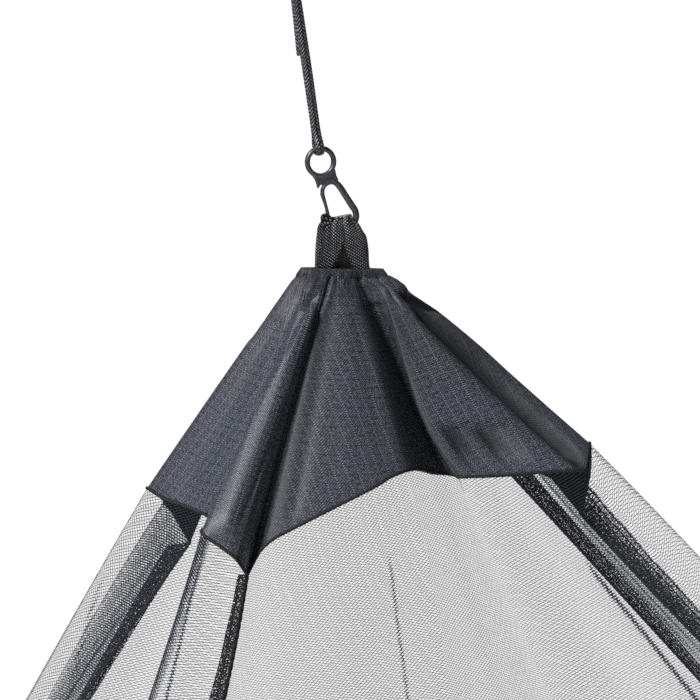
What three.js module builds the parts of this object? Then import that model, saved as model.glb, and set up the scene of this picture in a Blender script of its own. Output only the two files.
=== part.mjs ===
// Mosquito net tent: a ripstop cap and four net panels, hung by a cord, a snap hook and a webbing loop.
// Millimetres, +Z up. The origin is where the cord's loop bears on what holds it, and -Y is the front.
import * as THREE from 'three';

// Driving sizes
const GROUND = { length: 2200, width: 1200, sag: 22 }; // ground outline, and how far its sides draw in
const HEIGHT = 1500; // cap's top seam above the ground
const HANG = 175; // cord's bearing point above the cap's top seam
// Gathered top seam, its lean, and the angles round it where the four corner seams start
const TOP = { length: 38, depth: 7.2, tilt: -0.2, corners: [248, 335, 385, 515] };
const CAP_THICK = 1.0;
const NET_THICK = 1.5;
const SEAM_GAP = 0.4; // each panel's edge stays this far from the middle of its corner seams
const HEM_GAP = 1.2; // the net starts this far below the cap's hem
const FOLD_REACH = 260; // drop over which the net's folds at the cap even out
const NET_EASE = 22; // drop over which the net leaves the deep valley of the cap
const EASED_FOLDS = ['valley slope', 'valley', 'out of the valley'];
const FIT = 0.3; // clearance between pieces that bear on each other
const COLUMNS_PER_FOLD = 2;
const CAP_LEVELS = 7;
const NET_LEVELS = 12;
const NET_CROWDING = 1.7; // power that brings the net's levels closer together near the cap

const RING = { x: -2.6, z: 49, outer: 7.3, inner: 5 };
const HOOK_THICK = 3;
const CORD = { width: 4, thick: 1.9, knot: 140, tailEnd: 97 };

// Each row is a fold that crosses the cap's hem. x, y and z are its place on the hem below the middle of
// the top seam, and outX and outY are how far the net under it runs out for each millimetre of drop.
const row = ([fold, x, y, z, outX, outY]) => ({ fold, hem: [x, y, z], out: [outX, outY] });

const CORNERS = [
  ['near left', -77.1, -48.5, -117.5, -0.48, -0.5],
  ['near right', 84, -36, -126, 0.58, -0.46],
  ['far right', 80, 45, -119, 0.75, 0.42],
  ['far left', -78, 48, -120, -0.8, 0.48],
].map(row);

const PANELS = [
  {
    name: 'front',
    ground: [[-1, -1], [1, -1]],
    folds: [
      ['belly edge', -70.5, -48.5, -109, -0.42, -0.47],
      ['belly edge', -67.7, -50.3, -106, -0.41, -0.45],
      ['left belly', -62.9, -51, -103.4, -0.38, -0.43],
      ['left belly', -55.8, -51.5, -101.2, -0.33, -0.41],
      ['left belly', -39, -52, -96.5, -0.23, -0.39],
      ['middle', -14, -50.5, -90.2, -0.08, -0.4],
      ['into the valley', -6, -48.5, -88, -0.02, -0.44],
      ['into the valley', 1.6, -46, -87.3, 0.03, -0.44],
      ['valley slope', 9, -39, -89, 0.06, -0.44],
      ['valley slope', 20, -26, -95, 0.1, -0.44],
      ['valley', 31.5, -14, -100, 0.12, -0.44],
      ['out of the valley', 30, -34, -97.5, 0.14, -0.44],
      ['crisp fold', 24, -52, -93.6, 0.15, -0.44],
      ['crisp fold face', 26.2, -53.4, -93.8, 0.16, -0.43],
      ['right flat', 42, -56, -96, 0.26, -0.4],
      ['right flat', 62, -59, -98, 0.4, -0.46],
      ['roll front', 75, -61, -99.5, 0.5, -0.62],
      ['roll front', 79.5, -60.5, -100.5, 0.54, -0.66],
      ['roll crest', 84, -56, -95, 0.6, -0.72],
      ['roll crest', 88, -49, -91.5, 0.62, -0.68],
      ['roll back', 89, -41, -106, 0.6, -0.56],
    ].map(row),
  },
  {
    name: 'right',
    ground: [[1, -1], [1, 1]],
    folds: [
      ['beside the near corner', 86, -24, -121, 0.57, -0.3],
      ['belly', 86, -6, -116, 0.56, -0.1],
      ['belly', 84, 14, -114, 0.58, 0.08],
      ['roll front', 86, 30, -114, 0.68, 0.24],
      ['roll crest', 92, 38, -113, 0.77, 0.32],
      ['roll crest', 93, 45, -114, 0.8, 0.37],
      ['roll back', 88, 49, -117, 0.79, 0.41],
    ].map(row),
  },
  {
    name: 'back',
    ground: [[1, 1], [-1, 1]],
    folds: [
      ['crease beside the corner', 70, 40, -110, 0.58, 0.5],
      ['belly', 45, 52, -98, 0.32, 0.42],
      ['middle', 10, 54, -93, 0.06, 0.4],
      ['middle', -30, 56, -94, -0.2, 0.4],
      ['roll front', -60, 66, -98, -0.46, 0.5],
      ['roll front', -75, 74, -102, -0.6, 0.6],
      ['roll crest', -82, 70, -103, -0.69, 0.62],
      ['roll back', -81, 58, -108, -0.74, 0.56],
    ].map(row),
  },
  {
    name: 'left',
    ground: [[-1, 1], [-1, -1]],
    folds: [
      ['roll root', -88, 41, -97.5, -0.82, 0.42],
      ['side crest', -99, 25, -86, -0.79, 0.17],
      ['side', -95.5, 10, -89, -0.78, 0.05],
      ['side', -89, -2, -92, -0.76, -0.06],
      ['side', -83.5, -14, -95, -0.72, -0.16],
      ['valley behind the roll', -81, -24, -97, -0.61, -0.25],
      ['roll crest', -94.5, -49.5, -94.9, -0.59, -0.34],
      ['roll face', -88.2, -55.5, -101.7, -0.53, -0.38],
      ['roll front', -83.7, -58, -106.7, -0.5, -0.41],
      ['roll lip', -80.4, -55.5, -112.3, -0.47, -0.44],
    ].map(row),
  },
];

function indexed(points, faces) {
  return new THREE.BufferGeometry().setFromPoints(points).setIndex(faces);
}

// Closed mesh from a grid of two-sided columns: skins[level][column] = [outside point, inside point].
function closedSheet(skins) {
  const levels = skins.length;
  const columns = skins[0].length;
  const at = (level, column, side) => (level * columns + column) * 2 + side;
  const faces = [];
  const quad = (a, b, c, d) => faces.push(a, b, c, a, c, d);
  for (let i = 0; i + 1 < levels; i++) {
    for (let j = 0; j + 1 < columns; j++) {
      quad(at(i, j, 0), at(i + 1, j, 0), at(i + 1, j + 1, 0), at(i, j + 1, 0));
      quad(at(i, j, 1), at(i, j + 1, 1), at(i + 1, j + 1, 1), at(i + 1, j, 1));
    }
    quad(at(i, 0, 0), at(i, 0, 1), at(i + 1, 0, 1), at(i + 1, 0, 0));
    const last = columns - 1;
    quad(at(i, last, 0), at(i + 1, last, 0), at(i + 1, last, 1), at(i, last, 1));
  }
  for (let j = 0; j + 1 < columns; j++) {
    quad(at(0, j, 0), at(0, j + 1, 0), at(0, j + 1, 1), at(0, j, 1));
    const low = levels - 1;
    quad(at(low, j, 0), at(low, j, 1), at(low, j + 1, 1), at(low, j + 1, 0));
  }
  return indexed(skins.flat(2), faces);
}

// Closed tube along stations in the YZ plane, its width along X. A station is
// { x, y, z, width, thick }, and its section is an ellipse or, with square set, a flat band.
function bandAlong(stations, square = false) {
  const points = stations.map((s) => new THREE.Vector3(s.x, s.y, s.z));
  const turns = square ? [45, 135, 225, 315] : Array.from({ length: 10 }, (_, k) => k * 36);
  const stretch = square ? Math.SQRT2 : 1;
  const rings = stations.map((s, i) => {
    const ahead = points[Math.min(i + 1, points.length - 1)];
    const along = ahead.clone().sub(points[Math.max(i - 1, 0)]).setX(0).normalize();
    const across = new THREE.Vector3(0, along.z, -along.y);
    return turns.map((turn) => {
      const angle = THREE.MathUtils.degToRad(turn);
      const wide = (stretch * Math.cos(angle) * s.width) / 2;
      const deep = (stretch * Math.sin(angle) * s.thick) / 2;
      return points[i].clone().addScaledVector(across, deep).setX(s.x + wide);
    });
  });
  const around = turns.length;
  const faces = [];
  for (let i = 0; i + 1 < rings.length; i++) {
    for (let k = 0; k < around; k++) {
      const [a, b] = [i * around + k, i * around + ((k + 1) % around)];
      faces.push(a, b, b + around, a, b + around, a + around);
    }
  }
  const end = (rings.length - 1) * around;
  for (let k = 1; k + 1 < around; k++) {
    faces.push(0, k + 1, k, end, end + k, end + k + 1);
  }
  return indexed(rings.flat(), faces);
}

function mesh(name, geometry, color, roughness, metalness = 0) {
  const piece = new THREE.Mesh(geometry, new THREE.MeshStandardMaterial({ color, roughness, metalness }));
  piece.name = name;
  return piece;
}

// Point on the gathered top seam, a flat oval that leans to one side.
function topPoint(degrees) {
  const angle = THREE.MathUtils.degToRad(degrees);
  const x = (TOP.length / 2) * Math.cos(angle);
  return new THREE.Vector3(x, (TOP.depth / 2) * Math.sin(angle), TOP.tilt * x);
}

// Columns of one panel: where each starts on the top seam, crosses the hem and meets the ground.
function panelColumns(panel, index) {
  const rows = [CORNERS[index], ...panel.folds, CORNERS[(index + 1) % 4]];
  const knots = rows.map((r) => new THREE.Vector3(...r.hem));
  const hemLine = new THREE.CatmullRomCurve3(knots);
  const outLine = new THREE.CatmullRomCurve3(rows.map((r) => new THREE.Vector3(...r.out, 0)));
  const spans = knots.slice(1).map((p, k) => p.distanceTo(knots[k]));
  const width = spans.reduce((sum, span) => sum + span, 0);
  const before = knots.map((_, k) => spans.slice(0, k).reduce((sum, span) => sum + span, 0));
  const held = rows.map((_, k) => k).filter((k) => !EASED_FOLDS.includes(rows[k].fold));
  const evenLine = new THREE.CatmullRomCurve3(held.map((k) => knots[k]));
  const starts = [...TOP.corners, TOP.corners[0] + 360];
  const count = spans.length * COLUMNS_PER_FOLD;
  return Array.from({ length: count }, (_, j) => {
    const k = Math.floor(j / COLUMNS_PER_FOLD);
    const reached = before[k] + (spans[k] * (j % COLUMNS_PER_FOLD)) / COLUMNS_PER_FOLD;
    const share = reached / width;
    const past = held.findLastIndex((row) => before[row] <= reached);
    const [low, high] = [before[held[past]], before[held[past + 1]]];
    const even = evenLine.getPoint((past + (reached - low) / (high - low)) / (held.length - 1));
    const [from, to] = panel.ground.map(([sx, sy]) => [(sx * GROUND.length) / 2, (sy * GROUND.width) / 2]);
    const drawnIn = GROUND.sag * Math.sin(Math.PI * share);
    const ground = new THREE.Vector3(
      THREE.MathUtils.lerp(from[0], to[0], share) - (from[0] === to[0] ? Math.sign(from[0]) * drawnIn : 0),
      THREE.MathUtils.lerp(from[1], to[1], share) - (from[1] === to[1] ? Math.sign(from[1]) * drawnIn : 0),
      -HEIGHT,
    );
    return {
      top: topPoint(THREE.MathUtils.lerp(starts[index], starts[index + 1], share)),
      hem: hemLine.getPoint(j / count),
      out: outLine.getPoint(j / count),
      even,
      ground,
    };
  });
}

function capPoint(column, level) {
  return column.top.clone().lerp(column.hem, level);
}

// The net eases from the hem onto the even line without the deep valley, leaves that along its own run, and
// settles onto the straight line to the ground below it.
function netPoint(column, level) {
  const start = new THREE.Vector3(column.out.x, column.out.y, -1).setLength(HEM_GAP).add(column.hem);
  const height = start.z - column.ground.z;
  const drop = height * level ** NET_CROWDING;
  const eased = column.even.clone().sub(column.hem).setZ(0);
  const straight = column.ground.clone().sub(start).sub(eased).divideScalar(height);
  const stray = column.out.clone().sub(straight).setZ(0).multiplyScalar(Math.exp(-drop / FOLD_REACH));
  start.addScaledVector(eased, 1 - Math.exp(-drop / NET_EASE));
  return start.addScaledVector(straight.add(stray), drop);
}

// Outward directions over a grid that closes on itself around the tent.
function outwardOf(grid) {
  return grid.map((ring, i) =>
    ring.map((_, j) => {
      const around = ring[(j + 1) % ring.length].clone().sub(ring.at(j - 1));
      const down = grid[Math.min(i + 1, grid.length - 1)][j].clone().sub(grid[Math.max(i - 1, 0)][j]);
      return down.cross(around).normalize();
    }),
  );
}

// One panel's skins: both sides of its columns, with the two end columns held back from the seams, further
// where the panels meet at a sharp angle.
function panelSkins(grid, outward, first, count, thick, flatten) {
  return grid.map((ring, i) => {
    const pick = (j) => (first + j + ring.length) % ring.length;
    return Array.from({ length: count + 1 }, (_, j) => {
      const place = ring[pick(j)].clone();
      if (j === 0 || j === count) {
        const [inside, outside] = j === 0 ? [1, -1] : [count - 1, count + 1];
        const back = ring[pick(inside)].clone().sub(place);
        const half = back.angleTo(ring[pick(outside)].clone().sub(place)) / 2;
        place.add(back.clampLength(0, Math.min(SEAM_GAP / Math.sin(half), 0.7 * back.length())));
      }
      return [0.5, -0.5].map((side) => {
        const point = place.clone().addScaledVector(outward[i][pick(j)], side * thick);
        if (flatten && i === grid.length - 1) point.z = -HEIGHT;
        return point;
      });
    });
  });
}

function addCloth(tent) {
  const panels = PANELS.map(panelColumns);
  const columns = panels.flat();
  const gridOf = (pointAt, levels) =>
    Array.from({ length: levels + 1 }, (_, i) => columns.map((column) => pointAt(column, i / levels)));
  const capGrid = gridOf(capPoint, CAP_LEVELS);
  const netGrid = gridOf(netPoint, NET_LEVELS);
  const capOutward = outwardOf(capGrid);
  const netOutward = outwardOf(netGrid);
  netOutward[0] = capOutward.at(-1);
  let first = 0;
  PANELS.forEach((panel, index) => {
    const count = panels[index].length;
    const cap = closedSheet(panelSkins(capGrid, capOutward, first, count, CAP_THICK, false));
    const net = closedSheet(panelSkins(netGrid, netOutward, first, count, NET_THICK, true));
    tent.add(mesh(`cap_${panel.name}`, cap, 0x3b3f47, 0.55), mesh(`net_${panel.name}`, net, 0x17181c, 0.7));
    first += count;
  });
}

// The webbing goes up from the top seam, over the hook's lower bar and down again, narrowest on the bar.
function webbingLoop() {
  const half = [
    [-0.8, -8, 24.6, 0, 1.2],
    [-0.8, 0, 25, 0, 1.2],
    [-2.6, 6, 23.6, 0.8, 1.4],
    [-3.9, 12, 21.5, 1.4, 1.4],
    [-4.5, 17, 18.8, 1.6, 1.5],
    [-4.3, 20.4, 16.6, 1.7, 1.7],
    [-3.4, 22.3, 13, 2.6, 1.7],
    [-2.5, 22.6, 8, 3.8, 1.8],
    [0, 22.5, 7.2, 3.9, 2],
  ].map(([y, z, width, x, thick]) => ({ x, y, z, width, thick }));
  const back = half.slice(0, -1).reverse().map((s) => ({ ...s, y: -s.y }));
  return mesh('webbing_loop', bandAlong([...half, ...back], true), 0x1b1c1e, 0.8);
}

// Flat moulded hook: ring, flared neck with its barb, stout back leg, round toe and thin sprung tongue.
function snapHook() {
  const toe = { x: 3.9, z: 23.2, outer: 7.8, inner: 4.9 };
  const shape = new THREE.Shape();
  shape.moveTo(3.4, 44.9);
  shape.absarc(RING.x, RING.z, RING.outer, -0.6, Math.PI + 0.92, false);
  shape.quadraticCurveTo(-5.7, 41, -5.6, 37.6);
  shape.lineTo(-4, 38.7);
  shape.quadraticCurveTo(-4.6, 36.4, -5, 34.2);
  shape.lineTo(-3.7, 28.4);
  shape.absarc(toe.x, toe.z, toe.outer, Math.PI + 0.05, 2 * Math.PI + 0.25, false);
  shape.lineTo(10.4, 27.6);
  shape.quadraticCurveTo(6.6, 36.4, 4.4, 39.6);
  shape.quadraticCurveTo(3.3, 41.8, 3.4, 44.9);
  const eye = new THREE.Path().absarc(RING.x, RING.z, RING.inner, 0, 2 * Math.PI, true);
  const bight = new THREE.Path();
  bight.moveTo(-2.1, 28.6);
  bight.lineTo(-3, 34.2);
  bight.quadraticCurveTo(-2.6, 37.6, 0.8, 38);
  bight.quadraticCurveTo(2.4, 38, 3.2, 36.4);
  bight.lineTo(7.2, 27);
  bight.absarc(toe.x, toe.z, toe.inner, 0.3, Math.PI, true);
  shape.holes.push(eye, bight);
  const bevel = 0.4;
  const solid = new THREE.ExtrudeGeometry(shape, {
    depth: HOOK_THICK - 2 * bevel,
    bevelThickness: bevel,
    bevelSize: bevel,
    bevelOffset: -bevel,
    bevelSegments: 1,
    curveSegments: 10,
  });
  solid.translate(0, 0, bevel - HOOK_THICK / 2).rotateX(Math.PI / 2);
  return mesh('snap_hook', solid, 0x35383d, 0.4, 0.3);
}

// The doubled cord: two legs folded over the ring's top bar, a knot, a hanging loop and a cut end.
function addCord(tent) {
  const beside = HOOK_THICK / 2 + FIT + CORD.thick / 2;
  const under = RING.z + RING.inner - FIT - CORD.thick / 2;
  const stacked = CORD.thick / 2 + FIT / 2 + 0.1;
  const knot = { wide: 12, tall: 13, deep: 11 };
  const [knotLow, knotHigh] = [CORD.knot - knot.tall / 2 - FIT, CORD.knot + knot.tall / 2 + FIT];
  const { width, thick } = CORD;
  const route = (points) => points.map(([x, y, z]) => ({ x: RING.x + x, y, z, width, thick }));
  const leg = [
    [0, FIT / 2, under],
    [0, beside - 1, under + 0.3],
    [0, beside, under + 1.6],
    [0, beside, under + 4.5],
    [0, stacked, under + 9],
    [0.2, stacked, 88],
    [0, stacked, knotLow],
  ];
  const loopTop = HANG + CORD.thick / 2;
  const side = [
    [0, 2.2, knotHigh],
    [0, 4.6, knotHigh + 8],
    [0, 5.2, loopTop - 9],
    [0, 3.6, loopTop - 2.2],
  ];
  const loop = [...side, [0, 0, loopTop], ...side.toReversed().map(([x, y, z]) => [x, -y, z])];
  const tailBack = stacked + CORD.thick + FIT + 0.2;
  const tail = [
    [0.8, tailBack, knotLow],
    [0.3, tailBack, 118],
    [-0.7, tailBack, CORD.tailEnd],
  ];
  const cord = (name, points) => tent.add(mesh(name, bandAlong(route(points)), 0x202327, 0.75));
  cord('cord_back', leg);
  cord('cord_front', leg.map(([x, y, z]) => [x, -y, z]));
  cord('cord_loop', loop);
  cord('cord_tail', tail);
  const lump = new THREE.SphereGeometry(0.5, 14, 9).rotateX(Math.PI / 2);
  lump.scale(knot.wide, knot.deep, knot.tall);
  const tied = mesh('cord_knot', lump, 0x202327, 0.75);
  tied.position.set(RING.x, 0, CORD.knot);
  tent.add(tied);
}

const tent = new THREE.Group();
addCloth(tent);
tent.add(webbingLoop(), snapHook());
addCord(tent);
tent.position.set(-RING.x, 0, -HANG);
const part = new THREE.Group();
part.add(tent);
part.updateMatrixWorld(true);

export default part;
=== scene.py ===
"""Mosquito net tent: a ripstop cap and four net panels, hung by a doubled cord, a snap hook and webbing."""
import math

import bpy
import numpy as np
from mathutils import Matrix, Vector


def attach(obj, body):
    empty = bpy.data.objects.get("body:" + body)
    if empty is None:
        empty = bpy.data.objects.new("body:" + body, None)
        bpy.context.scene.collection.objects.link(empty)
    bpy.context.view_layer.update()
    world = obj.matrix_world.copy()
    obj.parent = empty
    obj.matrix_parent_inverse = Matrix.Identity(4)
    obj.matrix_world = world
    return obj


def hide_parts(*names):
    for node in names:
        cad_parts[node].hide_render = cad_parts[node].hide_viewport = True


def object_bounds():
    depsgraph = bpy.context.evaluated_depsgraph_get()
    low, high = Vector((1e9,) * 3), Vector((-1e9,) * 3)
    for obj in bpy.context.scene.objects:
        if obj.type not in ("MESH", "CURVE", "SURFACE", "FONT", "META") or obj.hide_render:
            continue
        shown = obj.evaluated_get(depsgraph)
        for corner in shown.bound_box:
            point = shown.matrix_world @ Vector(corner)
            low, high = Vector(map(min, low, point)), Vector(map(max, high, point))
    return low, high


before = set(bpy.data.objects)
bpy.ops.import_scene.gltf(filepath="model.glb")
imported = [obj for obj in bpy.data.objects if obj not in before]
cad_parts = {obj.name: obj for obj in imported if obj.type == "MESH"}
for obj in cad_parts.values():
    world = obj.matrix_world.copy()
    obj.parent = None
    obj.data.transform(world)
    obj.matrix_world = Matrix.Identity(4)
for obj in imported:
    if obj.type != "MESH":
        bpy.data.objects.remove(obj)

CAD_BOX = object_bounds()
MM = 0.001

# Driving sizes, millimetres. Places below are measured from the middle of the cap's top seam.
CAP_TOP = np.array([2.6, 0.0, -175.0])
GROUND_LENGTH, GROUND_WIDTH, GROUND_SAG = 2200.0, 1200.0, 22.0
HEIGHT = 1500.0
TOP_LENGTH, TOP_DEPTH, TOP_TILT = 38.0, 7.2, -0.2
RIPSTOP_THICK = 0.35
WEBBING_WIDTH, WEBBING_THICK = 25.0, 1.1
CORD_WIDTH, CORD_THICK = 4.0, 1.9
RING_X, RING_Z = -2.6, 49.0
KNOT_Z = 140.0
THREAD_WRAP = 1.3

# Degrees round the top seam at which the corner seams start.
TOP_CORNERS = (248, 335, 385, 515)
# Drop over which a fold's own run settles, and over which the net leaves the folds that it eases out of.
FOLD_REACH, NET_EASE = 260.0, 22.0
# Net cloth for each mm of height, and the power that crowds its rows below the cap.
NET_SLANT, NET_CROWDING = 1.1, 1.7
# Rows and columns of cloth in each gore, net panel and seam allowance.
CAP_ROWS, NET_ROWS, NET_COLUMNS, SEAM_ROWS, SEAM_COLUMNS = 90, 90, 300, 160, 9
CAP_COLUMNS = {"front": 260, "right": 130, "back": 180, "left": 240}

# The photograph's view: azimuth, elevation, lean, distance, and the millimetres that one pixel spans there.
VIEW_AZIMUTH, VIEW_ELEVATION, VIEW_LEAN = -16.0, 10.0, -8.5
VIEW_DISTANCE, PIXEL_SPAN, FRAME_PIXELS = 1600.0, 0.45, 700
CAP_TOP_PIXEL = (342.0, 268.0)
SENSOR = 36.0

# Folds that cross the cap's hem: name, x, y, z on the hem, and the net's run in x and y for each mm of drop.
CORNERS = (
    ("near left", -77.1, -48.5, -117.5, -0.48, -0.5),
    ("near right", 84, -36, -126, 0.58, -0.46),
    ("far right", 80, 45, -119, 0.75, 0.42),
    ("far left", -78, 48, -120, -0.8, 0.48),
)
FOLDS = {
    "front": (
        ("belly edge", -70.5, -48.5, -109, -0.42, -0.47),
        ("belly edge", -67.7, -50.3, -106, -0.41, -0.45),
        ("left belly", -62.9, -51, -103.4, -0.38, -0.43),
        ("left belly", -55.8, -51.5, -101.2, -0.33, -0.41),
        ("left belly", -39, -52, -96.5, -0.23, -0.39),
        ("middle", -14, -50.5, -90.2, -0.08, -0.4),
        ("into the valley", -6, -48.5, -88, -0.02, -0.44),
        ("into the valley", 1.6, -46, -87.3, 0.03, -0.44),
        ("valley slope", 9, -39, -89, 0.06, -0.44),
        ("valley slope", 20, -26, -95, 0.1, -0.44),
        ("valley", 31.5, -14, -100, 0.12, -0.44),
        ("out of the valley", 30, -34, -97.5, 0.14, -0.44),
        ("crisp fold", 24, -52, -93.6, 0.15, -0.44),
        ("crisp fold face", 26.2, -53.4, -93.8, 0.16, -0.43),
        ("right flat", 42, -56, -96, 0.26, -0.4),
        ("right flat", 62, -59, -98, 0.4, -0.46),
        ("roll front", 75, -61, -99.5, 0.5, -0.62),
        ("roll front", 79.5, -60.5, -100.5, 0.54, -0.66),
        ("roll crest", 84, -56, -95, 0.6, -0.72),
        ("roll crest", 88, -49, -91.5, 0.62, -0.68),
        ("roll back", 89, -41, -106, 0.6, -0.56),
    ),
    "right": (
        ("beside the near corner", 86, -24, -121, 0.57, -0.3),
        ("belly", 86, -6, -116, 0.56, -0.1),
        ("belly", 84, 14, -114, 0.58, 0.08),
        ("roll front", 86, 30, -114, 0.68, 0.24),
        ("roll crest", 92, 38, -113, 0.77, 0.32),
        ("roll crest", 93, 45, -114, 0.8, 0.37),
        ("roll back", 88, 49, -117, 0.79, 0.41),
    ),
    "back": (
        ("crease beside the corner", 70, 40, -110, 0.58, 0.5),
        ("belly", 45, 52, -98, 0.32, 0.42),
        ("middle", 10, 54, -93, 0.06, 0.4),
        ("middle", -30, 56, -94, -0.2, 0.4),
        ("roll front", -60, 66, -98, -0.46, 0.5),
        ("roll front", -75, 74, -102, -0.6, 0.6),
        ("roll crest", -82, 70, -103, -0.69, 0.62),
        ("roll back", -81, 58, -108, -0.74, 0.56),
    ),
    "left": (
        ("roll root", -88, 41, -97.5, -0.82, 0.42),
        ("side crest", -99, 25, -86, -0.79, 0.17),
        ("side", -95.5, 10, -89, -0.78, 0.05),
        ("side", -89, -2, -92, -0.76, -0.06),
        ("side", -83.5, -14, -95, -0.72, -0.16),
        ("valley behind the roll", -81, -24, -97, -0.61, -0.25),
        ("roll crest", -94.5, -49.5, -94.9, -0.59, -0.34),
        ("roll face", -88.2, -55.5, -101.7, -0.53, -0.38),
        ("roll front", -83.7, -58, -106.7, -0.5, -0.41),
        ("roll lip", -80.4, -55.5, -112.3, -0.47, -0.44),
    ),
}
EASED_FOLDS = ("valley slope", "valley", "out of the valley")
PANELS = tuple(FOLDS)
GROUND_CORNERS = np.array([[-1, -1], [1, -1], [1, 1], [-1, 1]]) * [GROUND_LENGTH / 2, GROUND_WIDTH / 2]
TOP_ANGLES = np.array([*TOP_CORNERS, TOP_CORNERS[0] + 360])


# Mesh making

def lay_mesh(name, points, faces, material, uv=None, marks=None):
    """Object at the origin from points in millimetres from the cap's top seam. Each point may have a uv pair
    and a mark, the number that the material reads: how many layers of net lie together, how closed a seam's
    lace is, how high a strand of the braid stands, or how much painted shade darkens a fold."""
    points = np.asarray(points, float).reshape(-1, 3)
    data = bpy.data.meshes.new(name)
    data.from_pydata(((points + CAP_TOP) * MM).tolist(), [], faces)
    data.update()
    if uv is not None:
        corner = np.empty(len(data.loops), dtype=np.int32)
        data.loops.foreach_get("vertex_index", corner)
        chart = data.uv_layers.new(name="cloth")
        chart.data.foreach_set("uv", np.asarray(uv, np.float32).reshape(-1, 2)[corner].ravel())
    if marks is not None:
        carried = data.attributes.new("marks", "FLOAT", "POINT")
        carried.data.foreach_set("value", np.ravel(marks).astype(np.float32))
    data.shade_smooth()
    data.materials.append(material)
    piece = bpy.data.objects.new(name, data)
    bpy.context.scene.collection.objects.link(piece)
    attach(piece, "root")
    return piece


def quad_corners(grid):
    """Values of a grid at the four corners of each of its quads, in the order that a face goes round."""
    return grid[:-1, :-1], grid[1:, :-1], grid[1:, 1:], grid[:-1, 1:]


def grid_faces(rows, columns, around=False, round_again=False, start=0):
    """Quads over a grid of points, numbered row by row from start: each row closes on itself where around
    is set, and the last row joins the first where round_again is set."""
    number = np.arange(rows * columns).reshape(rows, columns) + start
    if around:
        number = np.hstack([number, number[:, :1]])
    if round_again:
        number = np.vstack([number, number[:1]])
    return np.stack([c.ravel() for c in quad_corners(number)], axis=1).tolist()


def unit(vectors):
    """The same directions with length 1."""
    return vectors / np.linalg.norm(vectors, axis=-1, keepdims=True)


def outward(points):
    """Unit normals of a grid: down the rows crossed with along the columns."""
    return unit(np.cross(np.gradient(points, axis=0), np.gradient(points, axis=1)))


def through(rows, at):
    """Curve through rows, read at row numbers: each span is the cubic whose end slopes weigh the rows
    beside it by the square root of their distances."""
    rows = np.asarray(rows, float)
    rows = np.vstack([2 * rows[0] - rows[1], rows, 2 * rows[-1] - rows[-2]])
    span = np.clip(np.floor(at).astype(int), 0, len(rows) - 4)
    w = (at - span)[..., None]
    p0, p1, p2, p3 = (rows[span + k] for k in range(4))
    steps = (p1 - p0, p2 - p1, p3 - p2)
    d0, d1, d2 = (np.sqrt(np.linalg.norm(step, axis=-1, keepdims=True)) for step in steps)
    m1 = ((p1 - p0) / d0 - (p2 - p0) / (d0 + d1) + (p2 - p1) / d1) * d1
    m2 = ((p2 - p1) / d1 - (p3 - p1) / (d1 + d2) + (p3 - p2) / d2) * d1
    return ((2 * w**3 - 3 * w**2 + 1) * p1 + (w**3 - 2 * w**2 + w) * m1
            + (3 * w**2 - 2 * w**3) * p2 + (w**3 - w**2) * m2)


def run_length(line):
    """Length along a line, from its start to each of its points."""
    return np.concatenate([[0], np.cumsum(np.linalg.norm(np.diff(line, axis=0), axis=1))])


def points_at(line, lengths):
    """Points of a line at given lengths along it, on the straight spans between its own points."""
    return np.stack([np.interp(lengths, run_length(line), line[:, k]) for k in range(3)], axis=1)


def even_path(line, step):
    """The same line with points an even step apart."""
    whole = run_length(line)[-1]
    return points_at(line, np.linspace(0, whole, max(2, int(whole / step))))


def bell(distance, width):
    """Soft bump: 1 at no distance, falling off over width as a bell curve."""
    return np.exp(-((distance / width) ** 2))


def ease(value, start, end):
    """0 before start, 1 after end, and a smooth step between."""
    w = np.clip((value - start) / (end - start), 0, 1)
    return w * w * (3 - 2 * w)


def tube(path, across, deep, half_width, half_depth, sides):
    """Rings of a tube: an ellipse at each path point, half_width along across and half_depth along deep."""
    turn = np.linspace(0, 2 * np.pi, sides, endpoint=False)[None, :, None]
    wide, thick = (np.reshape(h, (-1, 1, 1)) if np.ndim(h) else h for h in (half_width, half_depth))
    return path[:, None] + np.cos(turn) * wide * across[:, None] + np.sin(turn) * thick * deep[:, None]


def lay_tube(name, rings, material, uv=None, marks=None):
    """Tube from its rings, with both ends closed."""
    rows, columns = rings.shape[:2]
    ends = [list(range(columns)), list(range((rows - 1) * columns, rows * columns))[::-1]]
    return lay_mesh(name, rings, grid_faces(rows, columns, around=True) + ends, material, uv, marks)


# Materials

def new_material(name, **sockets):
    """Principled material with its constants set on the shader's own sockets, and its wiring."""
    material = bpy.data.materials.new(name)
    material.use_nodes = True
    shader = material.node_tree.nodes["Principled BSDF"]
    for socket, value in sockets.items():
        shader.inputs[socket.replace("_", " ").title().replace("Ior", "IOR")].default_value = value
    return material, Wiring(material.node_tree), shader


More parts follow.
